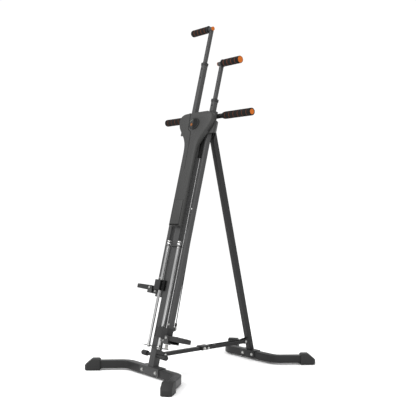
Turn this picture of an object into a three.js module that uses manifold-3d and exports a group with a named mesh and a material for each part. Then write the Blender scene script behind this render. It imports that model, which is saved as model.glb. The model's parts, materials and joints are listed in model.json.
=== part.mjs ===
// Vertical climber machine: a leaning post with two rope-coupled climbing tubes that slide beside it,
// a folding rear leg with a two-link brace, bowed stabilisers, a static handlebar and two telescoping handles.
// Units are millimetres, +Z is up, the user stands on the -Y side facing +Y, and X is across the machine.
import * as THREE from "three";
import { mergeVertices } from "three/addons/utils/BufferGeometryUtils.js";
import Module from "manifold-3d";

// ---- driving dimensions -------------------------------------------------------------------------
const LEAN = Math.atan(0.252); // the post's lean back from vertical
const POST_Y0 = -8.8; // where the post's axis meets the floor plane, from the front stabiliser's centre
const POST = { w: 44, d: 35, wall: 2, top: 1343 };
const STAB = { tube: 40, wall: 1.8, zc: 29, bend: THREE.MathUtils.degToRad(53) };
const FRONT = { y: 0, half: 215, tip: 225 };
const REAR = { y: 665, half: 190, tip: 217 };
const CAP = { length: 80, width: 56, height: 58 };
const ROD = { x: 42.6, n: -22.5, r: 7.5, w0: 141, w1: 668 };
const TUBE = { x: 74, n: 0.5, out: 25.5, wall: 1.6 };
const RIGHT_TUBE_W = [173, 1431]; // lower and upper ends of the right climbing tube, along the post
const PHASE = 222; // how much higher the left side stands at rest
const CARRIAGE_W = 225; // centre of the right carriage, along the post
const LEFT_CARRIAGE_UP = 8; // the left carriage is fixed this much higher on its tube
const HANDLE = { tube: 18, bar: 22, grip: 38, w: 1641, ahead: 7, inner: 56, outer: 221.5, gripIn: 93, cap: 17 };
const STATIC = { n: 28, w: 1362, r: 12.5, half: 345, grip: 38.5, gripIn: 136, cap: 13.8 };
const PULLEY = { n: 28, w: 1290, r: 40, width: 13 }; // r is the radius of the rope's centreline
const ROPE_R = 2.3;
const ROPE_EYE = { x: 80, up: 90 }; // where a rope starts on its tube: across, and above the tube's lower end
const HINGE = { n: 66.4, w: 1331.6 }; // the rear leg's hinge, in the leaning frame
const BRACE = { ay: 64, by: 612, my: 342, z: 103, height: 18, half: 12.5 };
const COVER = { n: -47, back: -30, half: 47, w0: 761, thick: 2.8, edge: 8 }; // the front cover's face, column edge, width, lower end, wall and bevel
const PANEL = { half: 35.5, w0: 771, w1: 897 }; // the plate let into the foot of the front cover
const MONITOR = { rx: 40, rz: 30, w: 1305, keyX: -17, keyW: 1301, key: 7.5 };
const SEG = 20;

// ---- helpers ------------------------------------------------------------------------------------
const wasm = await Module();
wasm.setup();
function solid(g) {
  const c = (g.index ? g.toNonIndexed() : g).clone();
  for (const k of Object.keys(c.attributes)) if (k !== "position") c.deleteAttribute(k);
  const m = mergeVertices(c, 1e-4);
  return new wasm.Manifold(new wasm.Mesh({ numProp: 3, vertProperties: m.attributes.position.array, triVerts: new Uint32Array(m.index.array) }));
}
function geometry(s) {
  const m = s.getMesh(), v = new Float32Array(m.numVert * 3);
  for (let i = 0; i < m.numVert; i++) v.set(m.vertProperties.subarray(i * m.numProp, i * m.numProp + 3), i * 3);
  const g = new THREE.BufferGeometry().setAttribute("position", new THREE.BufferAttribute(v, 3)).setIndex(new THREE.BufferAttribute(m.triVerts, 1));
  g.computeVertexNormals();
  return g;
}
const union = (...gs) => geometry(gs.slice(1).reduce((a, b) => a.add(solid(b)), solid(gs[0])));
const cut = (g, ...tools) => geometry(tools.reduce((a, b) => a.subtract(solid(b)), solid(g)));
// A box between two corners.
const box = (x0, x1, y0, y1, z0, z1) => new THREE.BoxGeometry(x1 - x0, y1 - y0, z1 - z0).translate((x0 + x1) / 2, (y0 + y1) / 2, (z0 + z1) / 2);
// Round bars along each axis.
const alongZ = (r, z0, z1, x, y, seg = SEG) => new THREE.CylinderGeometry(r, r, z1 - z0, seg).rotateX(Math.PI / 2).translate(x, y, (z0 + z1) / 2);
const alongY = (r, y0, y1, x, z, seg = SEG) => new THREE.CylinderGeometry(r, r, y1 - y0, seg).translate(x, (y0 + y1) / 2, z);
const alongX = (r, x0, x1, y, z, seg = SEG) => new THREE.CylinderGeometry(r, r, x1 - x0, seg).rotateZ(Math.PI / 2).translate((x0 + x1) / 2, y, z);
const outline = (pts) => new THREE.Shape(pts.map(([a, b]) => new THREE.Vector2(a, b)));
// A flat outline in (x, z), given thickness from y0 to y1.
function plateXZ(pts, y0, y1) {
  return new THREE.ExtrudeGeometry(outline(pts), { depth: y1 - y0, bevelEnabled: false }).rotateX(Math.PI / 2).translate(0, y1, 0);
}
// A flat outline in (x, y), given height from z0 to z1.
const plateXY = (pts, z0, z1) => new THREE.ExtrudeGeometry(outline(pts), { depth: z1 - z0, bevelEnabled: false }).translate(0, 0, z0);
// A flat outline in (y, z), given thickness from x0 to x1.
function plateYZ(pts, x0, x1) {
  return new THREE.ExtrudeGeometry(outline(pts), { depth: x1 - x0, bevelEnabled: false }).rotateX(Math.PI / 2).rotateZ(Math.PI / 2).translate(x0, 0, 0);
}
// A square tube that follows a curve.
function squareTube(curve, size, wall, steps) {
  const h = size / 2, i = h - wall;
  const s = outline([[-h, -h], [h, -h], [h, h], [-h, h]]);
  s.holes.push(new THREE.Path([[-i, -i], [-i, i], [i, i], [i, -i]].map(([a, b]) => new THREE.Vector2(a, b))));
  return new THREE.ExtrudeGeometry(s, { steps, extrudePath: curve, bevelEnabled: false });
}
const material = (color, roughness, metalness) => new THREE.MeshStandardMaterial({ color, roughness, metalness });
const paint = material(0x2b2b2b, 0.5, 0.25), plastic = material(0x4c4c4c, 0.55, 0), black = material(0x161616, 0.7, 0),
  chrome = material(0xc8c8c8, 0.18, 1), orange = material(0xd06a28, 0.45, 0), foam = material(0x1b1a19, 0.95, 0),
  zinc = material(0xa8a8a8, 0.35, 1), rope = material(0x202020, 0.9, 0), grey = material(0x9a9a9a, 0.7, 0);
const machine = new THREE.Group();
const leaning = new THREE.Group();
leaning.position.set(0, POST_Y0, 0);
leaning.rotation.x = -LEAN;
machine.add(leaning);
leaning.updateMatrix();
const toLean = leaning.matrix.clone().invert();
// A shape drawn in the upright frame, carried into the leaning one.
const inLean = (g) => g.applyMatrix4(toLean);
function add(group, name, g, mat) {
  const m = new THREE.Mesh(g, mat);
  m.name = name;
  group.add(m);
  return m;
}

// ---- the post and everything welded to it -------------------------------------------------------
{
  const { w, d, wall, top } = POST, x = w / 2, n = d / 2;
  let post = cut(box(-x, x, -n, n, 30, top), box(-x + wall, x - wall, -n + wall, n - wall, 20, top + 10));
  post = cut(post, inLean(box(-100, 100, -100, 100, -50, 50))); // it stands on the saddle's top plate
  // The saddle straddles the front stabiliser.
  const t = 3, g = STAB.tube / 2 + 0.4, zt = STAB.zc + g;
  const saddle = inLean(union(box(-80, 80, -g - t, g + t, zt, zt + t), box(-80, 80, -g - t, -g, 14, zt + 1), box(-80, 80, g, g + t, 14, zt + 1)));
  // Plates that hold the guide rods, with a hole for each rod.
  const lower = cut(box(-84, 84, -34, 12, 147, 150), alongZ(ROD.r + 0.3, 140, 155, -ROD.x, ROD.n), alongZ(ROD.r + 0.3, 140, 155, ROD.x, ROD.n));
  const upper = cut(box(-54, 54, -34, 0, 660, 663), alongZ(ROD.r + 0.3, 650, 670, -ROD.x, ROD.n), alongZ(ROD.r + 0.3, 650, 670, ROD.x, ROD.n));
  // Lugs for the brace's front pivot.
  const anchor = new THREE.Vector3(0, BRACE.ay, BRACE.z).applyMatrix4(toLean);
  const lug = (x0, x1) => cut(plateYZ([[n - 1, 104], [51, 104], [57, 110], [57, 126], [51, 132], [n - 1, 132]], x0, x1), alongX(4.4, -40, 40, anchor.y, anchor.z, 16));
  // Lugs for the rear leg's hinge.
  const ear = (x0, x1) => cut(plateYZ([[n - 1, 1330.6], [37, 1330.6], [41, 1316], [76, 1318], [80, 1330], [76, 1342], [n - 1, 1342]], x0, x1), alongX(5.3, -40, 40, HINGE.n, HINGE.w, 16));
  // The pad that carries the pulley's axle.
  const carrier = box(-16, 16, n - 1, n + 2.4, PULLEY.w - 16, PULLEY.w + 16);
  post = union(post, saddle, lower, upper, lug(-16.2, -13.2), lug(13.2, 16.2), ear(-20.5, -17), ear(17, 20.5), carrier);
  // The foot bar's bore, the axles' holes and the open top.
  post = cut(post, alongX(8.4, -60, 60, -5.7, 108), alongY(5.4, 0, 40, 0, PULLEY.w, 16));
  add(leaning, "main_post", post, paint);
}

// ---- stabilisers and their feet ------------------------------------------------------------------
function stabiliser(prefix, { y, half, tip }, dir) {
  const c = Math.cos(STAB.bend), s = Math.sin(STAB.bend) * dir, run = tip - 36, r = 34;
  const P = (sx, d) => new THREE.Vector3(sx * (half + c * d), y + s * d, STAB.zc);
  const path = new THREE.CurvePath();
  const inL = new THREE.Vector3(-half + r, y, STAB.zc), inR = new THREE.Vector3(half - r, y, STAB.zc);
  path.add(new THREE.LineCurve3(P(-1, run), P(-1, r)));
  path.add(new THREE.QuadraticBezierCurve3(P(-1, r), P(-1, 0), inL));
  path.add(new THREE.LineCurve3(inL, inR));
  path.add(new THREE.QuadraticBezierCurve3(inR, P(1, 0), P(1, r)));
  path.add(new THREE.LineCurve3(P(1, r), P(1, run)));
  add(machine, prefix + "_stabiliser", squareTube(path, STAB.tube, STAB.wall, 30), paint);
  for (const [side, sx] of [["left", -1], ["right", 1]]) {
    // A moulded end cap, drawn along +X and turned to the tube's end: chamfered top and ends, open mouth.
    const { length: L, width: W, height: H } = CAP, b = W / 2, o = STAB.tube / 2 + 0.4;
    const side2d = plateXZ([[tip - L, 0], [tip - 4, 0], [tip, 5], [tip, 27], [tip - 38, H], [tip - L + 8, H], [tip - L, H - 5]], -b, b);
    const plan = plateXY([[tip - L - 1, -b], [tip - 12, -b], [tip + 1, -b + 13], [tip + 1, b - 13], [tip - 12, b], [tip - L - 1, b]], -1, H + 1);
    let cap = geometry(solid(side2d).intersect(solid(plan)));
    cap = cut(cap, box(tip - L - 5, tip - 35.6, -o, o, STAB.zc - o, STAB.zc + o));
    cap.rotateZ(sx > 0 ? Math.atan2(s, c) : Math.PI - Math.atan2(s, c)).translate(sx * half, y, 0);
    add(machine, prefix + "_" + side + "_foot_cap", cap, black);
  }
}
stabiliser("front", FRONT, -1);
stabiliser("rear", REAR, 1);

// ---- foot bar ------------------------------------------------------------------------------------
add(leaning, "foot_bar", alongX(8, -88.6, 88.6, -5.7, 108), paint);
for (const [side, s] of [["left", -1], ["right", 1]]) {
  const profile = [[8.4, 0], [11.5, 0], [13.5, 3], [13.5, 40], [11.5, 44], [0, 44], [0, 32], [8.4, 32], [8.4, 0]].map(([a, b]) => new THREE.Vector2(a, b));
  const knob = new THREE.LatheGeometry(profile, SEG).rotateZ(-Math.PI / 2).translate(57, -5.7, 108);
  if (s < 0) knob.rotateZ(Math.PI).translate(0, -11.4, 0);
  add(leaning, "foot_bar_knob_" + side, knob, black);
}

// ---- guide rods and the down stops ---------------------------------------------------------------------
for (const [side, s] of [["left", -1], ["right", 1]]) {
  add(leaning, "guide_rod_" + side, union(alongZ(ROD.r, ROD.w0, ROD.w1, s * ROD.x, ROD.n), alongZ(9.5, 663.4, 676, s * ROD.x, ROD.n)), chrome);
}
for (const [side, s] of [["left", -1], ["right", 1]]) {
  add(leaning, "down_stop_" + side, union(alongZ(8.5, 150.4, 171, s * TUBE.x, TUBE.n), alongZ(10.5, 150.4, 154, s * TUBE.x, TUBE.n)), grey);
}

// ---- covers ----------------------------------------------------------------------------------------
const mirror = (half) => [...half, ...half.slice().reverse().map(([x, w]) => [-x, w])];
{
  // The front cover is one moulding: a narrow column that flares through the neck into the head's two shoulders.
  const { n, back, half, w0, thick: t, edge } = COVER;
  const half2d = [[half, w0], [half, 950], [half, 1150], [48.2, 1170], [51, 1188], [55.6, 1203], [62.5, 1217], [72, 1231], [84, 1246], [97, 1260], [110, 1273.5],
    [121, 1288], [128.5, 1303], [133.5, 1319], [135, 1334], [130, 1348.5], [118, 1359.5], [100, 1366.5], [80, 1368.5]];
  // A moulding with this outline and a bevelled front edge, held in from the outline by inset.
  const shell = (inset, front, bevel) => new THREE.ExtrudeGeometry(outline(mirror(half2d)), { depth: 60, bevelThickness: bevel, bevelSize: bevel, bevelOffset: -bevel - inset, bevelSegments: 2 })
    .rotateX(Math.PI / 2).translate(0, front + 60 + bevel, 0);
  // It is open behind: shallow along the column, as deep as the rear cover's edge at the head.
  const behind = plateYZ([[back, 700], [back, 1150], [-19.8, 1215], [-19.8, 1420], [60, 1420], [60, 700]], -200, 200);
  let cover = cut(shell(0, n, edge), behind);
  cover = cut(cover, geometry(solid(shell(t, n + t, edge - 1))));
  // Two bosses rest it on the post.
  for (const w of [820, 1120]) cover = union(cover, box(-11, 11, n + 1.5, -POST.d / 2 - 0.4, w - 11, w + 11));
  // The monitor's seat, and the recess for the panel.
  cover = cut(cover, new THREE.CylinderGeometry(1, 1, 24, 40).scale(MONITOR.rx + 0.6, 1, MONITOR.rz + 0.6).translate(0, n + 1, MONITOR.w),
    box(-PANEL.half - 3.3, PANEL.half + 3.3, n - 2, n + 1.5, PANEL.w0 - 4, PANEL.w1 + 0.5));
  add(leaning, "front_cover", cover, plastic);
  add(leaning, "column_panel", box(-PANEL.half, PANEL.half, n - 0.4, n + 1.2, PANEL.w0, PANEL.w1), plastic);
  // The rear shell is open below for the tubes, the rope and the folding leg.
  const plan = [[134, -19.4], [132, -4], [115, 18], [84, 41], [46, 71], [30, 84]];
  const planIn = [[131, -16.6], [129, -5], [112.8, 16], [82.2, 38.6], [44.6, 68.4], [29, 81]];
  const lower = plateXY(mirror(plan), 1190, 1322), lowerIn = plateXY(mirror(planIn), 1150, 1318.6);
  const up = [[98, -19.4], [98, 17], [72, 37], [40, 62], [26, 70]], upIn = [[95, -30], [95, 16], [70.4, 34.6], [38.6, 59], [25, 66.6]];
  const upper = plateXY(mirror(up), 1318, 1380), upperIn = plateXY(mirror(upIn), 1312, 1376.6);
  // A hump over the rear leg's hinge.
  const hump = box(-30, 30, 40, 84, 1318, 1356), humpIn = box(-27.4, 27.4, 36, 81.4, 1300, 1352.8);
  let rear = geometry(solid(lower).add(solid(upper)).add(solid(hump)).subtract(solid(lowerIn)).subtract(solid(upperIn)).subtract(solid(humpIn)));
  // Its lower edge is level with the floor, deeper in the middle, where it covers the pulley, and its front wall leaves room for the post.
  for (const s of [-1, 1]) rear = cut(rear, inLean(box(s > 0 ? 52 : -300, s > 0 ? 300 : -52, -300, 900, 1000, 1222)));
  rear = cut(rear, inLean(box(-300, 300, -300, 900, 1000, 1192)), box(-24, 24, -40, -10, 1100, 1320));
  // Openings for the two climbing tubes and the static bar.
  for (const s of [-1, 1]) rear = cut(rear, box(s * TUBE.x - 15.5, s * TUBE.x + 15.5, -24, 16, 1370, 1400));
  rear = cut(rear, alongX(STATIC.r + 0.6, -200, 200, STATIC.n, STATIC.w), box(-19, 19, 60, 120, 1200, 1352)); // and the slot the leg leaves through
  add(leaning, "head_rear_cover", rear, plastic);
  // The monitor sits in the front cover, with a round key in its window.
  const body = new THREE.CylinderGeometry(1, 1, 14, 40).scale(MONITOR.rx, 1, MONITOR.rz).translate(0, n + 4, MONITOR.w);
  add(leaning, "monitor_body", cut(body, alongY(MONITOR.key + 0.4, n - 8, n + 3.5, MONITOR.keyX, MONITOR.keyW, 16)), black);
  add(leaning, "monitor_button", alongY(MONITOR.key, n - 4.5, n + 1, MONITOR.keyX, MONITOR.keyW, 16), orange);
}

// ---- static handlebar --------------------------------------------------------------------------------
add(leaning, "static_handlebar", (() => {
  const bar = alongX(STATIC.r, -STATIC.half, STATIC.half, STATIC.n, STATIC.w);
  // Two clamps weld the bar to the back of the post.
  const tab = plateYZ([[POST.d / 2 + 0.4, 1346], [POST.d / 2 + 0.4, 1370], [30, 1372], [30, 1350], [24, 1346]], -16, 16);
  return union(bar, tab);
})(), paint);
// A foam sleeve whose outer end stands past the tube's, around the end cap.
function grip(r, rIn, x0, x1, y, z, taper, capR) {
  const L = x1 - x0, c = capR + 0.4;
  const p = [[rIn, 0], [r - taper, 0], [r, taper * 3], [r, L + 1], [r - 1.6, L + 3.4], [c, L + 3.4], [c, L + 0.1], [rIn, L + 0.1], [rIn, 0]].map(([a, b]) => new THREE.Vector2(a, b));
  return new THREE.LatheGeometry(p, SEG).rotateZ(-Math.PI / 2).translate(x0, y, z);
}
function plug(r, rIn, x0, depth, y, z) {
  // A push-in end plug: a low domed head and, if the tube is open, a stem that fits its bore.
  const stem = depth > 0 ? [[0, -depth], [rIn, -depth], [rIn, 0.4]] : [[0, 0.4]];
  const p = [...stem, [r, 0.4], [r, 2.4], [r - 1, 3.2], [0, 3.5]].map(([a, b]) => new THREE.Vector2(a, b));
  return new THREE.LatheGeometry(p, SEG).rotateZ(-Math.PI / 2).translate(x0, y, z);
}
const flip = (g, y) => g.rotateZ(Math.PI).translate(0, 2 * y, 0);
for (const [side, s] of [["left", -1], ["right", 1]]) {
  const y = STATIC.n, z = STATIC.w;
  let g = grip(STATIC.grip / 2, STATIC.r + 0.3, STATIC.gripIn, STATIC.half, y, z, 4, STATIC.cap), c = plug(STATIC.cap, 4, STATIC.half, 0, y, z);
  if (s < 0) { g = flip(g, y); c = flip(c, y); }
  add(leaning, "static_grip_" + side, g, foam);
  add(leaning, "static_end_cap_" + side, c, orange);
}

// ---- pulley, axle and rope -----------------------------------------------------------------------------
{
  const { n, w, r, width } = PULLEY, h = width / 2, g = ROPE_R + 0.4;
  const p = [[5.4, -h], [r + 3.4, -h], [r + 3.4, -h + 1.4], [r - g, -2.2], [r - g, 2.2], [r + 3.4, h - 1.4], [r + 3.4, h], [5.4, h], [5.4, -h]].map(([a, b]) => new THREE.Vector2(a, b));
  add(leaning, "pulley", new THREE.LatheGeometry(p, 32).translate(0, n, w), black);
  add(leaning, "pulley_axle", union(alongY(5, 16.2, 40, 0, w, 16), alongY(8, 35, 40, 0, w, 6)), zinc);
  // One rope: a run up to the pulley on each side, and the turn over its top.
  const ring = outline(Array.from({ length: 8 }, (_, i) => [ROPE_R * Math.cos((i * Math.PI) / 4), ROPE_R * Math.sin((i * Math.PI) / 4)]));
  const V = (a, b) => new THREE.Vector3(a, n, b);
  const lean = (up) => Math.asin(r / Math.hypot(ROPE_EYE.x, up)) - Math.atan2(ROPE_EYE.x, up); // the run's lean inwards
  const end = (s, low) => { const t = -lean(w - low); return V(s * r * Math.cos(t), w + r * Math.sin(t)); };
  const lowR = RIGHT_TUBE_W[0] + ROPE_EYE.up, lowL = lowR + PHASE, eR = end(1, lowR), eL = end(-1, lowL);
  const run = (s, low, e) => { const from = V(s * ROPE_EYE.x, low), d = e.clone().sub(from).normalize(); return new THREE.LineCurve3(from, e.clone().addScaledVector(d, -0.4)); };
  add(leaning, "rope_right_run", new THREE.ExtrudeGeometry(ring, { steps: 1, extrudePath: run(1, lowR, eR), bevelEnabled: false }), rope);
  add(leaning, "rope_left_run", new THREE.ExtrudeGeometry(ring, { steps: 1, extrudePath: run(-1, lowL, eL), bevelEnabled: false }), rope);
  class Over extends THREE.Curve {
    getPoint(t) { const a = -lean(w - lowR), z = Math.PI + lean(w - lowL), q = a + (z - a) * t; return V(r * Math.cos(q), w + r * Math.sin(q)); }
  }
  add(leaning, "rope_top_run", new THREE.ExtrudeGeometry(ring, { steps: 18, extrudePath: new Over(), bevelEnabled: false }), rope);
}

// ---- the two climbing sides ---------------------------------------------------------------------------
// Each is drawn for the right side at its own height along the post; the left is its mirror, PHASE higher.
for (const [side, s] of [["left", -1], ["right", 1]]) {
  const group = new THREE.Group();
  group.position.z = s < 0 ? PHASE : 0;
  leaning.add(group);
  // Mirroring in X is done on the vertices, with the faces turned round again by the boolean library.
  const own = (g) => (s > 0 ? g : geometry(solid(g).mirror([1, 0, 0])));
  const { x, n, out, wall } = TUBE, h = out / 2, [w0, w1] = RIGHT_TUBE_W, cw = CARRIAGE_W + (s < 0 ? LEFT_CARRIAGE_UP : 0);
  // The guide bush in the head stays with the frame.
  add(leaning, "guide_bush_" + side, own(cut(box(x - 17.4, x + 17.4, -17, 15.2, 1356, 1376.2), box(x - h - 0.5, x + h + 0.5, n - h - 0.5, n + h + 0.5, 1350, 1390))), black);
  // The outer tube, with the rope's tab behind its lower end.
  const et = w0 + ROPE_EYE.up - 0.4;
  const eye = cut(plateYZ([[n + h - 1, et - 24], [22, et - 22], [33, et - 14], [33, et], [20, et], [n + h - 1, et - 6]], ROPE_EYE.x - 5, ROPE_EYE.x + 5), alongX(2.2, x - 9, x + 19, 28, et - 8, 10));
  add(group, side + "_climb_tube", own(union(cut(box(x - h, x + h, n - h, n + h, w0, w1), box(x - h + wall, x + h - wall, n - h + wall, n + h - wall, w0 - 5, w1 + 5)), eye)), paint);
  // The collar on its top end.
  const c = HANDLE.tube / 2 + 0.4, b = h - wall - 0.4;
  add(group, side + "_tube_collar", own(cut(union(box(x - 14.2, x + 14.2, n - 14.2, n + 14.2, w1 + 0.4, w1 + 16), box(x - b, x + b, n - b, n + b, w1 - 40, w1 + 1)), box(x - c, x + c, n - c, n + c, w1 - 50, w1 + 20))), black);
  // The carriage slides on the guide rod, wraps the tube's front and outer side, and laps over the post's face.
  const block = plateXY([[24, -42], [70, -42], [92, -26], [92, 12], [x + h + 0.4, 12], [x + h + 0.4, n - h - 0.4], [x - h - 0.4, n - h - 0.4], [x - h - 0.4, -4], [24, -4], [24, -19], [3, -19], [3, -31], [24, -31]], cw - 26, cw + 26);
  add(group, side + "_carriage", own(cut(block, alongZ(ROD.r + 0.5, cw - 40, cw + 40, ROD.x, ROD.n))), plastic);
  // The pedal's bracket: a channel under and around the pedal's inner end.
  const bf = -38, bb = 34, pw = cw - 16;
  const lugs = [[92.6, pw - 30], [92.6, pw + 6], [104, pw + 10], [118, pw + 6], [126, pw - 6], [126, pw - 30]];
  const bracket = cut(union(plateXZ([[60, pw - 31], [60, pw - 12], [92.6, pw - 10.4], [92.6, pw + 4], [104, pw + 9], [118, pw + 5], [126, pw - 6], [126, pw - 31]], -26, -22.4), box(60, 63.4, -26, -14.6, pw - 31, pw - 12),
    box(87.2, 93, -26, 30, pw - 31, pw - 10.4), box(89, 126, bf, bb, pw - 31, pw - 27), box(89, 92.4, bf, bb, pw - 31, pw - 13),
    plateXZ(lugs, bf, bf + 3.4), plateXZ(lugs, bb - 3.4, bb)),
    box(x - h - 0.4, x + h + 0.4, n - h - 0.4, n + h + 0.4, pw - 60, pw + 40), alongY(4.4, bf - 5, bb + 5, 110, pw - 3, 16));
  // Only the strip in front of the tube and the channel outside it are kept, clear of the pedal's end.
  add(group, side + "_pedal_bracket", own(cut(bracket, box(93.4, 130, bf + 3.4, bb - 3.4, pw - 26.9, pw + 30))), paint);
  add(group, side + "_pedal_pin", own(union(alongY(4, bf - 0.4, bb + 4, 110, pw - 3, 16), alongY(7, bf - 5, bf - 0.4, 110, pw - 3, 6))), zinc);
  // The pedal: a ribbed foot plate, square to the tube.
  const pf = bf + 3.8, pb = bb - 3.8;
  const plan = plateXY([[98.4, pf], [228, pf], [236, pf + 8], [236, pb - 18], [227, pb - 6], [212, pb], [98.4, pb]], pw - 14, pw + 8);
  add(group, side + "_pedal", own(cut(plan, alongY(4.3, pf - 5, pb + 5, 110, pw - 3, 16), box(128, 226, pf + 6, pb - 10, pw - 20, pw - 6))), black);
  // The telescoping handle: a square inner tube with a round cross bar.
  const hw = HANDLE.w, q = HANDLE.tube / 2, qi = q - 1.6, r = HANDLE.bar / 2, bn = n - HANDLE.ahead;
  const mast = cut(box(x - q, x + q, n - q, n + q, w1 - 250, hw), box(x - qi, x + qi, n - qi, n + qi, w1 - 260, hw - 14));
  const bar = cut(alongX(r, HANDLE.inner, HANDLE.outer, bn, hw), alongX(r - 1.6, HANDLE.inner - 1, HANDLE.inner + 6, bn, hw, 16), alongX(r - 1.6, HANDLE.outer - 12, HANDLE.outer + 1, bn, hw, 16));
  add(group, side + "_handle_tube", own(union(mast, bar)), paint);
  add(group, side + "_handle_grip", own(grip(HANDLE.grip / 2, r + 0.3, HANDLE.gripIn, HANDLE.outer, bn, hw, 2, HANDLE.cap)), foam);
  add(group, side + "_handle_cap_outer", own(plug(HANDLE.cap, r - 2, HANDLE.outer, 9, bn, hw)), orange);
  const innerPlug = plug(r, r - 2, 0, 5, 0, 0).rotateZ(Math.PI).translate(HANDLE.inner, bn, hw);
  add(group, side + "_handle_cap_inner", own(innerPlug), orange);
}

// ---- rear leg --------------------------------------------------------------------------------------------
const hinge = new THREE.Vector3(0, HINGE.n, HINGE.w).applyMatrix4(leaning.matrix); // in the upright frame
add(leaning, "leg_hinge_bolt", union(alongX(5, -26, 25, HINGE.n, HINGE.w, 16), alongX(9, 21.4, 27, HINGE.n, HINGE.w, 6)), zinc);
{
  // The leg is drawn upright below its hinge and tilted back to the rear stabiliser.
  const foot = new THREE.Vector3(0, REAR.y, STAB.zc + 20.4), tilt = Math.atan2(foot.y - hinge.y, hinge.z - foot.z), L = foot.distanceTo(hinge);
  let leg = cut(box(-15, 15, -15, 15, -L + 2, 15), box(-13.2, 13.2, -13.2, 13.2, -L - 20, 0), alongX(5.4, -40, 40, 0, 0, 16));
  leg.rotateX(tilt).translate(0, hinge.y, hinge.z);
  leg = cut(leg, box(-60, 60, REAR.y - 100, REAR.y + 100, 0, STAB.zc + 20.6));
  const t = 3, g = STAB.tube / 2 + 0.4, zt = STAB.zc + g, y = REAR.y;
  const saddle = union(box(-56, 56, y - g - t, y + g + t, zt, zt + t), box(-56, 56, y - g - t, y - g, 14, zt + 1), box(-56, 56, y + g, y + g + t, 14, zt + 1));
  // Lugs for the brace's rear pivot.
  const yl = (z) => foot.y - (z - foot.z) * Math.tan(tilt);
  const lug = (x0, x1) => cut(plateYZ([[BRACE.by - 10, BRACE.z - 12], [yl(BRACE.z - 14) - 12, BRACE.z - 14], [yl(BRACE.z + 16) - 12, BRACE.z + 16], [BRACE.by - 10, BRACE.z + 12]], x0, x1), alongX(4.4, -40, 40, BRACE.by, BRACE.z, 16));
  add(machine, "rear_leg", union(leg, saddle, lug(-15, -12), lug(12, 15)), paint);
}

// ---- brace: two links end to end that fold upwards, with a collar that stops them straight --------------------
{
  const { ay, by, my, z, height, half } = BRACE, h = height / 2, in2 = half + 3.2, out2 = in2 + 3;
  const bar = (y0, y1, x0, x1) => union(box(x0, x1, y0, y1, z - h, z + h), alongX(h, x0, x1, y0, z), alongX(h, x0, x1, y1, z));
  const hole = (y) => alongX(4.4, -40, 40, y, z, 16);
  add(machine, "brace_front_link", cut(bar(ay, my, -half, half), hole(ay), hole(my), hole(my - 24)), paint);
  // The rear link is two flat bars, joined by a spacer, that straddle the front link and the leg's lugs.
  const rear = union(bar(my, by, in2, out2), bar(my, by, -out2, -in2), box(-in2 - 1, in2 + 1, my + 52, my + 68, z - 7, z + 7));
  add(machine, "brace_rear_link", cut(rear, hole(my), hole(by)), paint);
  // The collar's web lies on both links, and its sides hold the two bolts.
  const ci = out2 + 0.5, co = ci + 3, y0 = my - 43, y1 = my + 11, zt = z + h + 0.4;
  add(machine, "brace_collar", cut(union(box(-co, co, y0, y1, zt, zt + 3), box(-co, -ci, y0, y1, z - 9, zt + 1), box(ci, co, y0, y1, z - 9, zt + 1)), hole(my), hole(my - 24)), paint);
  const bolt = (y, x0, x1) => union(alongX(4, x0, x1, y, z, 16), alongX(7, x1 - 0.5, x1 + 4.5, y, z, 6), alongX(6.5, x0 - 4, x0 + 0.5, y, z, 6));
  add(machine, "brace_mid_bolt", bolt(my, -co - 0.9, co + 0.9), zinc);
  add(machine, "brace_front_bolt", bolt(ay, -17.1, 17.1), zinc);
  for (const [name, s] of [["brace_rear_bolt", 1], ["brace_rear_nut", -1]]) {
    const g = union(alongX(4, in2 + 0.2, out2 + 0.9, by, z, 16), alongX(7, out2 + 0.4, out2 + 5, by, z, 6));
    add(machine, name, s > 0 ? g : geometry(solid(g).mirror([1, 0, 0])), zinc);
  }
}

// ---- the row frame: centred on the footprint, standing on the floor -------------------------------------------
machine.updateMatrixWorld(true);
const bounds = new THREE.Box3().setFromObject(machine, true);
machine.position.set(-(bounds.min.x + bounds.max.x) / 2, -(bounds.min.y + bounds.max.y) / 2, -bounds.min.z);

export default machine;
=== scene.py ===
import json
import math

import bmesh
import bpy
from mathutils import Matrix, Vector


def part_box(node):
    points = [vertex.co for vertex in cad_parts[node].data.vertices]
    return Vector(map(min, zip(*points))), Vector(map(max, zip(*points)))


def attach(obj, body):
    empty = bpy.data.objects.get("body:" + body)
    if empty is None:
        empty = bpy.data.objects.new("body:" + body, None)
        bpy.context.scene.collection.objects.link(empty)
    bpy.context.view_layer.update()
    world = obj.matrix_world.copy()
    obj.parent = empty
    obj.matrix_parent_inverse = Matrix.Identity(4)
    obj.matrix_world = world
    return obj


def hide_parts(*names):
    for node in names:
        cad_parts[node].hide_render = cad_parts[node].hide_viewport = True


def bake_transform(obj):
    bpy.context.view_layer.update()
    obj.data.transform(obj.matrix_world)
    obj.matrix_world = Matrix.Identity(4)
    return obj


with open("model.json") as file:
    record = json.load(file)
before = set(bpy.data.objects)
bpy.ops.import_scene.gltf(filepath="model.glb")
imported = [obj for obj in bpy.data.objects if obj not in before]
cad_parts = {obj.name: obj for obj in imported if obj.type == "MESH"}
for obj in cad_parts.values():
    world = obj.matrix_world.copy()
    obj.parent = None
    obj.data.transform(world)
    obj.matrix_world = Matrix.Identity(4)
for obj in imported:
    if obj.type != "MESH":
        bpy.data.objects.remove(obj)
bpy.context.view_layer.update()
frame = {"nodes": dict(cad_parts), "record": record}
RECORD = frame["record"]
BODY = {n: b for b, ns in RECORD["behaviour"]["bodies"].items() for n in ns}
MM = 0.001
rad = math.radians

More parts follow.
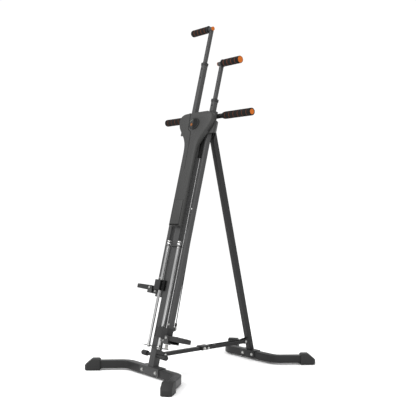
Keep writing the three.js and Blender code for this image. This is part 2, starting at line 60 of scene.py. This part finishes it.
# ---- where things are ---------------------------------------------------------------------------
LEAN = math.atan(0.252)
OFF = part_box("front_stabiliser")[1][1] - 0.020  # the front stabiliser's centre line, in Y
ML = Matrix.Translation((0, OFF - 0.0088, 0)) @ Matrix.Rotation(-LEAN, 4, "X")  # the post's leaning frame
MR = Matrix.Translation((0, OFF, 0))  # the upright frame, with the front stabiliser at Y = 0
TUBE_X, TUBE_N, TUBE_H, MAST_H = 74, 0.5, 12.75, 9.0  # the climbing tubes, and half the width of each tube and mast
PHASE = {"left": 222, "right": 0}
SIGN = {"left": -1, "right": 1}
CARRY = {"left": 8, "right": 0}  # the left carriage is fixed this much higher on its tube


def P(space, x, y, z):
    return space @ Vector((x * MM, y * MM, z * MM))


# ---- camera -------------------------------------------------------------------------------------
cam = bpy.data.objects.new("camera", bpy.data.cameras.new("camera"))
bpy.context.scene.collection.objects.link(cam)
cam.data.lens, cam.data.sensor_width = 62.98, 36
cam.data.clip_start, cam.data.clip_end = 0.05, 100
cam.location = P(MR, 2960.23, -2098.72, 864.88)
yaw, pitch = rad(50.3), rad(-0.397)
ahead = Vector((-math.sin(yaw) * math.cos(pitch), math.cos(yaw) * math.cos(pitch), math.sin(pitch)))
cam.rotation_mode = "QUATERNION"
cam.rotation_quaternion = ahead.to_track_quat("-Z", "Y")
bpy.context.scene.camera = cam


# ---- materials ----------------------------------------------------------------------------------
def material(name, color, rough, metal=0.0, grain=None, bump=0.0, rough_vary=0.0, vary=0.0, coat=0.0, spec=0.5, wear=None):
    """A Principled material with procedural grain. grain is noise features per metre."""
    m = bpy.data.materials.new(name)
    m.use_nodes = True
    t = m.node_tree
    b = t.nodes["Principled BSDF"]
    b.inputs["Base Color"].default_value = (*color, 1)
    b.inputs["Roughness"].default_value = rough
    b.inputs["Metallic"].default_value = metal
    b.inputs["Specular IOR Level"].default_value = spec
    b.inputs["Coat Weight"].default_value = coat
    b.inputs["Coat Roughness"].default_value = 0.2
    if grain:
        tc = t.nodes.new("ShaderNodeTexCoord")
        n = t.nodes.new("ShaderNodeTexNoise")
        n.inputs["Scale"].default_value = grain
        n.inputs["Detail"].default_value = 3
        t.links.new(tc.outputs["Object"], n.inputs["Vector"])
        if bump:
            bn = t.nodes.new("ShaderNodeBump")
            bn.inputs["Strength"].default_value = bump
            bn.inputs["Distance"].default_value = 0.0004
            t.links.new(n.outputs["Fac"], bn.inputs["Height"])
            t.links.new(bn.outputs["Normal"], b.inputs["Normal"])
        big = t.nodes.new("ShaderNodeTexNoise")
        big.inputs["Scale"].default_value = 9
        big.inputs["Detail"].default_value = 5
        t.links.new(tc.outputs["Object"], big.inputs["Vector"])
        if rough_vary:
            r = t.nodes.new("ShaderNodeMapRange")
            r.inputs["From Min"].default_value, r.inputs["From Max"].default_value = 0.3, 0.7
            r.inputs["To Min"].default_value, r.inputs["To Max"].default_value = rough - rough_vary, rough + rough_vary
            t.links.new(big.outputs["Fac"], r.inputs["Value"])
            t.links.new(r.outputs["Result"], b.inputs["Roughness"])
        if vary:
            mix = t.nodes.new("ShaderNodeMix")
            mix.data_type = "RGBA"
            mix.inputs["A"].default_value = (*[c * (1 - vary) for c in color], 1)
            mix.inputs["B"].default_value = (*[min(1, c * (1 + vary)) for c in color], 1)
            t.links.new(big.outputs["Fac"], mix.inputs["Factor"])
            t.links.new(mix.outputs["Result"], b.inputs["Base Color"])
    return m


PAINT = material("powder_coat", (0.027, 0.027, 0.0274), 0.44, 0.0, 1400, 0.25, 0.07, 0.10, spec=0.35)
DARK = material("powder_coat_dark", (0.0085, 0.0085, 0.0088), 0.46, 0.0, 1400, 0.25, 0.07, 0.10, spec=0.28)
COVER = material("cover_plastic", (0.023, 0.023, 0.0226), 0.55, 0.0, 2600, 0.30, 0.06, 0.05, spec=0.30)
BLACK = material("black_plastic", (0.010, 0.010, 0.0103), 0.48, 0.0, 2600, 0.25, 0.07, 0.10, spec=0.30)
CAP = material("foot_rubber", (0.0115, 0.0115, 0.0115), 0.62, 0.0, 2200, 0.35, 0.06, 0.10, spec=0.30)
FOAM = material("foam", (0.0075, 0.0070, 0.0066), 0.92, 0.0, 900, 0.9, 0.04, 0.25, spec=0.15)
RING = material("foam_ring", (0.070, 0.020, 0.009), 0.8, 0.0, 900, 0.5, 0.04, 0.15, spec=0.15)
ORANGE = material("orange_plastic", (0.36, 0.086, 0.006), 0.42, 0.0, 2600, 0.12, 0.05, 0.05, spec=0.15)
KEY = material("key_plastic", (0.18, 0.062, 0.012), 0.45, 0.0, 2600, 0.12, 0.05, 0.05, spec=0.15)
CHROME = material("chrome", (0.39, 0.39, 0.39), 0.14, 1.0, 400, 0.02, 0.04, 0.02)
ZINC = material("zinc", (0.40, 0.40, 0.39), 0.30, 1.0, 1500, 0.10, 0.08, 0.06)
CABLE = material("cable_sheath", (0.012, 0.012, 0.012), 0.55, 0.0, 2600, 0.3, 0.05, 0.1, spec=0.3)
PALE = material("pale_rubber", (0.36, 0.355, 0.34), 0.75, 0.0, 1500, 0.3, 0.05, 0.06)
SEAM = material("seam_shadow", (0.004, 0.004, 0.004), 0.8, 0.0, 1500, 0.1, 0.02, 0.05, spec=0.1)
GLASS = material("dark_window", (0.0022, 0.0022, 0.0022), 0.35, 0.0, 600, 0.01, 0.02, 0.05, spec=0.12)
# Painted shade: near-black for the carriages' inner faces and for the gaps beside the neck.
PAINTED_SHADE = material("painted_shade_black", (0.0030, 0.0030, 0.0031), 0.55, 0.0, 2600, 0.25, 0.06, 0.10, spec=0.12)
LCD = material("display_segment_panel", (0.10, 0.108, 0.094), 0.40, 0.0, 1200, 0.03, 0.03, 0.06, spec=0.3)


# ---- mesh helpers -------------------------------------------------------------------------------
def place(name, mesh, body, mats, replaced=()):
    o = bpy.data.objects.new(name, mesh)
    bpy.context.scene.collection.objects.link(o)
    for m in mats if isinstance(mats, (list, tuple)) else [mats]:
        mesh.materials.append(m)
    if body:
        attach(o, body)
    if replaced:
        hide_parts(*replaced)
    return o


def shade(bm, angle=38):
    for f in bm.faces:
        f.smooth = True
    for e in bm.edges:
        e.smooth = not (len(e.link_faces) == 2 and e.calc_face_angle(0) > rad(angle))


def bm_mesh(name, bm, angle=38):
    bmesh.ops.recalc_face_normals(bm, faces=bm.faces)
    shade(bm, angle)
    me = bpy.data.meshes.new(name)
    bm.to_mesh(me)
    bm.free()
    return me


def bevelled(bm, width, segments=2, pick=None, least=25):
    bmesh.ops.dissolve_limit(bm, angle_limit=rad(1.2), verts=bm.verts, edges=bm.edges)
    edges = [e for e in bm.edges if e.is_manifold and e.is_convex and e.calc_face_angle(0) > rad(least) and e.calc_length() > 1.5 * width * MM and (pick is None or pick(e))]
    if edges:
        bmesh.ops.bevel(bm, geom=edges, offset=width * MM, offset_type="OFFSET", segments=segments, profile=0.5, affect="EDGES", clamp_overlap=True)
    return bm


def refine(node, mat, width=0.8, segments=2, pick=None, least=25):
    """A CAD node's own shape with its edges broken, in place of the node."""
    bm = bmesh.new()
    bm.from_mesh(frame["nodes"][node].data)
    bmesh.ops.remove_doubles(bm, verts=bm.verts, dist=2e-6)
    bevelled(bm, width, segments, pick, least)
    if "bush" in node or "collar" in node:  # their end faces go round an opening
        bmesh.ops.triangulate(bm, faces=[f for f in bm.faces if len(f.verts) > 4])
    return place(node + "_v", bm_mesh(node + "_v", bm), BODY[node], mat, [node])


def lathe(name, profile, at, axis, mats, body, kinds=None, seg=40, replaced=(), angle=38):
    """profile is (radius, distance along axis) in mm from the point at; kinds is the material index of each step."""
    bm = bmesh.new()
    q = axis.to_track_quat("Z", "Y").to_matrix().to_4x4()
    M = Matrix.Translation(at) @ q
    rings = []
    for r, t in profile:
        if r < 1e-6:
            rings.append([bm.verts.new(M @ Vector((0, 0, t * MM)))])
        else:
            rings.append([bm.verts.new(M @ Vector((r * MM * math.cos(2 * math.pi * i / seg), r * MM * math.sin(2 * math.pi * i / seg), t * MM))) for i in range(seg)])
    for k, (a, b) in enumerate(zip(rings, rings[1:])):
        for i in range(seg):
            j = (i + 1) % seg
            vs = [a[i % len(a)], a[j % len(a)], b[j % len(b)], b[i % len(b)]]
            vs = [v for n, v in enumerate(vs) if v not in vs[:n]]
            if len(vs) > 2:
                f = bm.faces.new(vs)
                f.material_index = kinds[k] if kinds else 0
    return place(name, bm_mesh(name, bm, angle), body, mats, replaced)


def prism(name, pts, depth, space, plane, mat, body, width=0.0, segments=2, replaced=()):
    """pts is an outline in mm; plane xz gets thickness along y from depth[0] to depth[1], xy along z, yz along x."""
    bm = bmesh.new()
    put = {"xz": lambda a, b, d: P(space, a, d, b), "xy": lambda a, b, d: P(space, a, b, d), "yz": lambda a, b, d: P(space, d, a, b)}[plane]
    low = [bm.verts.new(put(a, b, depth[0])) for a, b in pts]
    high = [bm.verts.new(put(a, b, depth[1])) for a, b in pts]
    bm.faces.new(low)
    bm.faces.new(high[::-1])
    for i in range(len(pts)):
        j = (i + 1) % len(pts)
        bm.faces.new([low[j], low[i], high[i], high[j]])
    bmesh.ops.recalc_face_normals(bm, faces=bm.faces)
    if width:
        bevelled(bm, width, segments)
    return place(name, bm_mesh(name, bm), body, mat, replaced)


def block(name, x, y, z, space, mat, body, width=0.0, segments=2):
    return prism(name, [(x[0], y[0]), (x[1], y[0]), (x[1], y[1]), (x[0], y[1])], z, space, "xy", mat, body, width, segments)


def bolt(name, at, axis, body, r=6.5, h=5.0, mat=None, washer=True, hexagon=True):
    """A bolt head on its washer, standing on the point at."""
    axis = axis.normalized()
    if washer:
        lathe(name + "_washer", [(0, 0), (r * 1.25, 0), (r * 1.25, 1.0), (r * 1.1, 1.3), (0, 1.3)], at, axis, mat or ZINC, body, seg=28)
    lathe(name + "_head", [(0, 1.3), (r, 1.3), (r, h), (r * 0.86, h + 1.2), (r * 0.5, h + 1.5), (r * 0.5, h - 0.8), (0, h - 0.8)] if not hexagon else
          [(0, 1.3), (r, 1.3), (r, h + 0.4), (r * 0.88, h + 1.2), (0, h + 1.2)], at, axis, mat or ZINC, body, seg=6 if hexagon else 28, angle=20)


def tube_path(name, pts, r, mat, body, seg=16, replaced=(), caps=True):
    """A round cable through points in the row frame."""
    bm = bmesh.new()
    rings = []
    up = Vector((0, 1, 0.01)).normalized()
    for i, p in enumerate(pts):
        d = (pts[min(i + 1, len(pts) - 1)] - pts[max(i - 1, 0)]).normalized()
        u = d.cross(up).normalized()
        v = d.cross(u)
        rings.append([bm.verts.new(p + (u * math.cos(2 * math.pi * k / seg) + v * math.sin(2 * math.pi * k / seg)) * r * MM) for k in range(seg)])
    for a, b in zip(rings, rings[1:]):
        for i in range(seg):
            bm.faces.new([a[i], a[(i + 1) % seg], b[(i + 1) % seg], b[i]])
    if caps:
        bm.faces.new(rings[0][::-1])
        bm.faces.new(rings[-1])
    return place(name, bm_mesh(name, bm), body, mat, replaced)


N_AXIS = (ML.to_3x3() @ Vector((0, 1, 0))).normalized()
T_AXIS = (ML.to_3x3() @ Vector((0, 0, 1))).normalized()
X_AXIS = Vector((1, 0, 0))
Y_AXIS = Vector((0, 1, 0))
long_edge = lambda mm: (lambda e: e.calc_length() > mm * MM)

# ---- frame: tubes with rounded corners ------------------------------------------------------------
refine("main_post", PAINT, 1.3, 3, long_edge(90))
refine("rear_leg", DARK, 1.6, 3, long_edge(24))
for side in ("front", "rear"):
    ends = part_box(side + "_stabiliser")
    refine(side + "_stabiliser", DARK, 3.2, 3, lambda e: abs(e.calc_length() - 0.040) > 0.0006 and abs(e.calc_length() - 0.0364) > 0.0006, 60)
    for lr in ("left", "right"):
        refine(f"{side}_{lr}_foot_cap", CAP, 3.0, 3, long_edge(9), 20)
refine("foot_bar", DARK, 0.5)
for s in ("left", "right"):
    refine("foot_bar_knob_" + s, BLACK, 0.8, 2)
    refine("guide_rod_" + s, CHROME, 0.6, 2)
    refine("down_stop_" + s, PALE, 0.8, 2)
    refine("guide_bush_" + s, BLACK, 0.3, 1)
refine("static_handlebar", DARK, 0.6, 2)
refine("pulley", BLACK, 0.4, 1)
for n in ("pulley_axle", "leg_hinge_bolt", "brace_front_bolt", "brace_mid_bolt", "brace_rear_bolt", "brace_rear_nut"):
    refine(n, ZINC, 0.5, 1)
refine("brace_front_link", DARK, 1.2, 2, long_edge(40))
refine("brace_rear_link", DARK, 0.8, 2, long_edge(30))
refine("brace_collar", DARK, 0.8, 2, long_edge(10))

# Bolts through both saddles.
for i, x in enumerate((-57, 57)):
    bolt(f"front_saddle_bolt_{i}", P(MR, x, -23.4, 31), -Y_AXIS, "frame", 6.6, 5.0)
    bolt(f"front_saddle_nut_{i}", P(MR, x, 23.4, 31), Y_AXIS, "frame", 6.5, 5.5)
for i, x in enumerate((-36, 36)):
    bolt(f"rear_saddle_bolt_{i}", P(MR, x, 665 - 23.4, 31), -Y_AXIS, "rear_leg", 6.6, 5.0)
    bolt(f"rear_saddle_nut_{i}", P(MR, x, 665 + 23.4, 31), Y_AXIS, "rear_leg", 6.5, 5.5)
# The fixed end of the brace's front link is bolted to its collar.
for i, s in enumerate((-1, 1)):
    bolt(f"brace_collar_bolt_{i}", P(MR, s * 22.2, 318, 103), X_AXIS * s, "brace_front", 6.5, 4.5)

# Rods: a dark ring under each cap.
for s, g in SIGN.items():
    lathe(f"rod_ring_{s}", [(8.0, 0), (10.2, 0), (10.6, 0.8), (10.6, 3.2), (10.2, 4), (8.0, 4), (8.0, 0)], P(ML, g * 42.6, -22.5, 676.2), T_AXIS, BLACK, "frame", seg=32)
    lathe(f"rod_top_{s}", [(0, 0), (9.6, 0), (9.6, 5), (8.6, 6.6), (6.5, 7.2), (0, 7.4)], P(ML, g * 42.6, -22.5, 680.2), T_AXIS, ZINC, "frame", seg=32)
    lathe(f"rod_foot_{s}", [(8.2, 0), (10.6, 0), (10.6, 1.6), (9.6, 4), (8.2, 4.4), (8.2, 0)], P(ML, g * 42.6, -22.5, 150.2), T_AXIS, ZINC, "frame", seg=32)

# ---- covers -----------------------------------------------------------------------------------------
refine("front_cover", COVER, 0.9, 2, long_edge(4), 34)
refine("column_panel", COVER, 0.8, 2)
refine("head_rear_cover", COVER, 1.0, 2, long_edge(10), 30)


def strip(name, pts, n0, n1, width, mat, body):
    """A narrow line on a face of constant n, through points (x, w)."""
    for k, (a, b) in enumerate(zip(pts, pts[1:])):
        d = Vector((b[0] - a[0], b[1] - a[1])).normalized()
        q = Vector((-d.y, d.x)) * width / 2
        e = d * width * 0.3
        prism(f"{name}_{k}", [(a[0] - e.x + q.x, a[1] - e.y + q.y), (b[0] + e.x + q.x, b[1] + e.y + q.y), (b[0] + e.x - q.x, b[1] + e.y - q.y), (a[0] - e.x - q.x, a[1] - e.y - q.y)],
              (n0, n1), ML, "xz", mat, body)


# The seam down the middle of the front cover: straight on the head, stepped at the neck, fading into the column.
strip("seam_head", [(-45, 1366), (-43, 1290), (-39, 1277)], -47.25, -46.5, 3.4, SEAM, "frame")
strip("seam_neck", [(-39, 1277), (-16, 1262), (-13, 1230), (-10, 1192)], -47.25, -46.5, 3.0, SEAM, "frame")
strip("seam_column", [(-10, 1192), (-8, 1130), (-7, 1060)], -47.2, -46.5, 1.6, SEAM, "frame")
# The panel's groove, and the dark line under the column.
block("panel_groove_floor", (-38.4, 38.4), (-45.72, -45.52), (767.4, 770.6), ML, SEAM, "frame")
block("panel_groove_left", (-38.4, -35.9), (-45.72, -45.52), (767.4, 896.8), ML, SEAM, "frame")
block("panel_groove_right", (35.9, 38.4), (-45.72, -45.52), (767.4, 896.8), ML, SEAM, "frame")
for s, g in (("left", -1), ("right", 1)):  # dark plates of painted shade, behind the gap between the column and the tube
    block("neck_painted_shade_" + s, (g * 48.5, g * 71.5), (-19.0, -17.4), (1124, 1226), ML, PAINTED_SHADE, "frame")
strip("column_lower_line", [(-37, 764.6), (37, 764.6)], -47.2, -46.5, 2.4, SEAM, "frame")

# ---- monitor ------------------------------------------------------------------------------------------
mlo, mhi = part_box("monitor_body")
MC = ML.inverted() @ ((Vector(mlo) + Vector(mhi)) / 2) / MM
refine("monitor_body", BLACK, 0.8, 2, long_edge(2))
refine("monitor_button", KEY, 0.8, 2)


def oval(name, cx, cw, rx, rw, n0, n1, mat, width=0.0, inner=None, seg=56, clip=None):
    bm = bmesh.new()
    pts = [(cx + rx * math.cos(2 * math.pi * i / seg), cw + rw * math.sin(2 * math.pi * i / seg)) for i in range(seg)]
    if clip:
        pts = [p for p in pts if clip(p)]
    if inner is None:
        a = [bm.verts.new(P(ML, x, n0, w)) for x, w in pts]
        b = [bm.verts.new(P(ML, x, n1, w)) for x, w in pts]
        bm.faces.new(a)
        bm.faces.new(b[::-1])
        for i in range(len(a)):
            j = (i + 1) % len(a)
            bm.faces.new([a[j], a[i], b[i], b[j]])
    else:
        prof = [(1.0, n1), (1.0, n0 + 1.2), (0.985, n0 + 0.3), (0.96, n0), (inner + 0.03, n0), (inner, n0 + 1.2), (inner, n1)]
        rings = [[bm.verts.new(P(ML, cx + (x - cx) * k, n, cw + (w - cw) * k)) for x, w in pts] for k, n in prof]
        for a, b in zip(rings, rings[1:] + rings[:1]):
            for i in range(seg):
                j = (i + 1) % seg
                bm.faces.new([a[i], a[j], b[j], b[i]])
    bmesh.ops.recalc_face_normals(bm, faces=bm.faces)
    if width:
        bevelled(bm, width, 2)
    return place(name, bm_mesh(name, bm), "frame", mat)


MX, MW = MC.x, MC.z
RX, RW = 39.6, 29.6
oval("monitor_bezel", MX, MW, RX, RW, -51.4, -46.0, BLACK, inner=0.90)
oval("monitor_window", MX, MW, RX * 0.90, RW * 0.90, -50.7, -50.3, GLASS, clip=lambda p: p[0] > MX - 4)
oval("monitor_panel", MX, MW, RX * 0.90, RW * 0.90, -50.7, -50.3, LCD, clip=lambda p: p[0] <= MX - 6 and p[1] > MW + 5)

# ---- handlebar and grips ----------------------------------------------------------------------------------
def grip(name, at, axis, length, r, bore, rings, body, node, taper, cap_r, half):
    """A foam sleeve with coloured rings let into it, from its inner end outwards; its outer end stands round the cap."""
    prof, kinds = [(bore, 0), (r - taper, 0), (r - taper * 0.4, taper * 1.2), (r - 0.6, taper * 2.6)], [0, 0, 0]
    for t in rings:
        for rr, tt, k in ((r, t - half - 2.4, 0), (r, t - half - 0.4, 0), (r - 0.6, t - half, 0), (r - 0.4, t, 1), (r - 0.6, t + half, 1), (r, t + half + 0.4, 0), (r, t + half + 2.4, 0)):
            prof.append((rr, tt))
            kinds.append(k)
    c = cap_r + 0.4
    for rr, tt in ((r, length + 0.4), (r - 0.5, length + 2.2), (r - 1.4, length + 3.4), (c + 0.5, length + 3.4), (c, length + 2.8), (c, length + 0.1), (bore, length + 0.1), (bore, 0)):
        prof.append((rr, tt))
        kinds.append(0)
    o = lathe(name, prof, at, axis, [FOAM, RING], body, kinds, 56, [node], 50)
    return o


def cap(name, at, axis, r, body, node):
    """A low domed end cap with a small dimple."""
    return lathe(name, [(0, 0.4), (r, 0.4), (r, 2.3), (r - 0.6, 3.0), (r - 1.8, 3.4), (r * 0.45, 3.7), (r * 0.34, 3.3), (0, 3.2)], at, axis, ORANGE, body, seg=44, replaced=[node])


for s, g in SIGN.items():
    ax = X_AXIS * g
    grip("static_grip_" + s + "_v", P(ML, g * 136, 28, 1362), ax, 209, 19.2, 12.7, [26 + 32 * k for k in range(6)], "frame", "static_grip_" + s, 4.0, 13.8, 1.9)
    cap("static_end_cap_" + s + "_v", P(ML, g * 345, 28, 1362), ax, 13.8, "frame", "static_end_cap_" + s)

# ---- cable and its fittings --------------------------------------------------------------------------------
R_P, W_P, N_P = 40.0, 1290.0, 28.0
low = {"right": 173 + 90, "left": 173 + 90 + PHASE["left"]}
ROPE_R = 2.3
lean_of = lambda up: math.asin(R_P / math.hypot(80, up)) - math.atan2(80, up)
for s, g in SIGN.items():
    t = -lean_of(W_P - low[s])
    top = P(ML, g * R_P * math.cos(t), N_P, W_P + R_P * math.sin(t))
    foot = P(ML, g * 80, N_P, low[s])
    n = 70
    run = tube_path(f"rope_{s}_run_v", [top.lerp(foot, i / n) for i in range(n + 1)], ROPE_R, CABLE, None, 14)
    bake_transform(run)
    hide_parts(f"rope_{s}_run")
    d = (top - foot).normalized()
    lathe(f"rope_ferrule_{s}", [(2.4, 0), (5.4, 0), (6.0, 1), (6.0, 14), (4.6, 18), (2.4, 19), (2.4, 0)], foot + d * 0.002, d, BLACK, s + "_climb", seg=24)
    bolt(f"rope_eye_bolt_{s}", P(ML, g * 85.2, 28, low[s] - 8.4), X_AXIS * g, s + "_climb", 5.0, 3.0, washer=False)
a0, a1 = -lean_of(W_P - low["right"]), math.pi + lean_of(W_P - low["left"])
tube_path("rope_top_run_v", [P(ML, R_P * math.cos(a0 + (a1 - a0) * i / 48), N_P, W_P + R_P * math.sin(a0 + (a1 - a0) * i / 48)) for i in range(49)], ROPE_R, CABLE, "frame", 14, ["rope_top_run"])

# ---- the two climbing sides ---------------------------------------------------------------------------------
for s, g in SIGN.items():
    up, ax, body = PHASE[s], X_AXIS * g, s + "_climb"
    refine(f"{s}_climb_tube", PAINT, 1.3, 3, long_edge(90))
    refine(f"{s}_tube_collar", BLACK, 1.6, 3, long_edge(8))
    block_ = refine(f"{s}_carriage", BLACK, 2.0, 3, long_edge(12))
    # The carriage's inner faces, next to the post, get painted shade that is darker than its black plastic.
    block_.data.materials.append(PAINTED_SHADE)
    for f in block_.data.polygons:
        if abs(f.center.x) < 0.0247:
            f.material_index = 1
    refine(f"{s}_pedal_bracket", PAINT, 0.9, 2, long_edge(6))
    refine(f"{s}_pedal_pin", ZINC, 0.6, 1)
    refine(f"{s}_pedal", BLACK, 2.4, 3, long_edge(9))
    refine(f"{s}_handle_tube", PAINT, 1.6, 3, long_edge(90))
    # Foot plate: anti-slip ribs.
    cu = up + CARRY[s]
    pw = 209 + cu
    for k in range(9):
        x0 = 116 + k * 12.4
        block(f"{s}_pedal_rib_{k}", (g * x0, g * (x0 + 5.4)), (-28, 22 if k < 8 else 12), (pw + 7.4, pw + 9.4), ML, BLACK, s + "_foot_pedal", 0.7, 2)
    # Bolts on the tube, the carriage and the bracket.
    for k, w in enumerate((270, 857) if s == "right" else (270,)):
        bolt(f"{s}_tube_bolt_{k}", P(ML, g * TUBE_X, TUBE_N - TUBE_H, w + up), -N_AXIS, body, 4.6, 2.6, hexagon=False, washer=True)
    for k, w in enumerate((-12, 12)):
        bolt(f"{s}_carriage_bolt_{k}", P(ML, g * 14, -31.0, 225 + cu + w), -N_AXIS, body, 3.6, 2.2, mat=BLACK, hexagon=False, washer=False)
    bolt(f"{s}_bracket_bolt", P(ML, g * 76.5, -26.0, 191 + cu), -N_AXIS, body, 5.0, 3.4, hexagon=False, washer=True)
    # Adjustment holes in the upper tube and in the handle's mast.
    for k, w in enumerate((1330, 1380)):
        lathe(f"{s}_adjust_hole_{k}", [(0, 0.15), (4.2, 0.15), (4.4, 0.0), (0, 0.0)], P(ML, g * TUBE_X, TUBE_N - TUBE_H, w + up + 30), -N_AXIS, SEAM, body, seg=24)
    for k in range(3):
        lathe(f"{s}_handle_hole_{k}", [(0, 0.15), (3.4, 0.15), (3.5, 0.0), (0, 0.0)], P(ML, g * TUBE_X, TUBE_N - MAST_H, 1490 + k * 50 + up), -N_AXIS, SEAM, s + "_handle", seg=24)
    # Handle: foam, caps and the flange inside the foam.
    hb, hw, hn = s + "_handle", 1641 + up, TUBE_N - 7
    grip(f"{s}_handle_grip_v", P(ML, g * 93, hn, hw), ax, 128.5, 19.0, 11.2, [18 + 29 * k for k in range(4)], hb, f"{s}_handle_grip", 2.5, 17.0, 2.8)
    lathe(f"{s}_handle_flange", [(11.1, 0), (19.4, 0), (20.2, 1), (20.2, 3.2), (19.4, 4.0), (11.1, 4.0), (11.1, 0)], P(ML, g * 88.6, hn, hw), ax, BLACK, hb, seg=44)
    cap(f"{s}_handle_cap_outer_v", P(ML, g * 221.5, hn, hw), ax, 17.0, hb, f"{s}_handle_cap_outer")
    cap(f"{s}_handle_cap_inner_v", P(ML, g * 56, hn, hw), -ax, 11.0, hb, f"{s}_handle_cap_inner")

# ---- floor and light --------------------------------------------------------------------------------------------
floor_mat = material("floor", (0.985, 0.985, 0.985), 0.9, 0.0, 60, 0.02, 0.02, 0.004, spec=0.0)
me = bpy.data.meshes.new("floor")
me.from_pydata([(-60, -60, -0.0004), (60, -60, -0.0004), (60, 60, -0.0004), (-60, 60, -0.0004)], [], [(0, 1, 2, 3)])
floor = bpy.data.objects.new("floor", me)
me.materials.append(floor_mat)
bpy.context.scene.collection.objects.link(floor)

world = bpy.data.worlds.new("studio")
world.use_nodes = True
world.node_tree.nodes["Background"].inputs["Color"].default_value = (1, 1, 1, 1)
world.node_tree.nodes["Background"].inputs["Strength"].default_value = 1.04
bpy.context.scene.world = world
bpy.context.scene.view_settings.view_transform = "Standard"


def area(name, at, to, size, power):
    l = bpy.data.lights.new(name, "AREA")
    l.size, l.energy = size, power
    o = bpy.data.objects.new(name, l)
    o.location = at
    o.rotation_mode = "QUATERNION"
    o.rotation_quaternion = (Vector(to) - Vector(at)).to_track_quat("-Z", "Y")
    bpy.context.scene.collection.objects.link(o)


area("key", (-0.8, -3.4, 3.4), (0, 0, 0.9), 2.2, 120)
area("fill", (3.6, 0.4, 2.6), (0, 0, 0.9), 2.6, 45)
area("edge", (3.6, -2.9, 2.4), (0, 0, 1.0), 0.9, 55)
